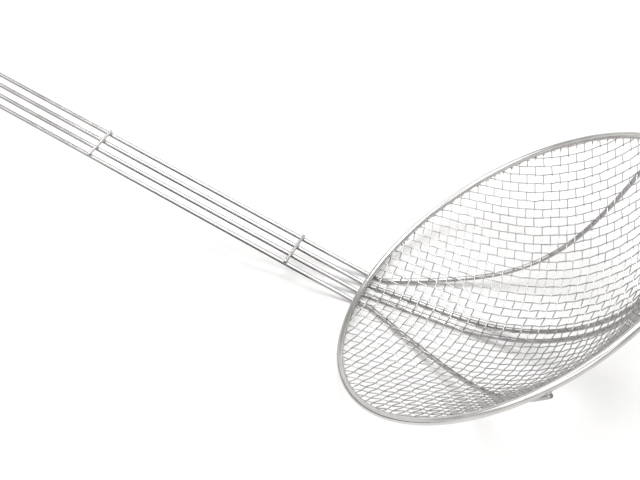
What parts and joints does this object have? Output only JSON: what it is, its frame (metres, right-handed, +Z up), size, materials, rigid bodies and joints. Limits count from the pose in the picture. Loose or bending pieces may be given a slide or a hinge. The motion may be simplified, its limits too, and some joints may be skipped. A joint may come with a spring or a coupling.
{
  "type": "mesh basket skimmer",
  "caption": "Round woven-wire basket skimmer: a bowl of square mesh in a wire rim, carried on ribs that run on into a flat rod handle with cross bars and a hanging hook.",
  "frame": {"origin": "on the surface that the skimmer lies on, midway along the straight stretch of the two inner rods that touches it", "axes": "+Z up from that surface; -X along the handle, seen from above; +Y to the left when looking from the handle to the bowl"},
  "size_m": [0.4985, 0.2032, 0.1178],
  "materials": {
    "rim_steel": "bright drawn stainless wire",
    "mesh_steel": "woven stainless wire, crimped",
    "rod_steel": "bright drawn stainless rod",
    "bar_steel": "bright drawn stainless rod, spot welded"
  },
  "bodies": {
    "root": {"rim": "rim_steel", "mesh_bowl": "mesh_steel", "outer_wire": "rod_steel", "left_inner_rod": "rod_steel", "right_inner_rod": "rod_steel", "front_cross_bar": "bar_steel", "middle_cross_bar": "bar_steel", "rear_cross_bar": "bar_steel"}
  },
  "joints": []
}
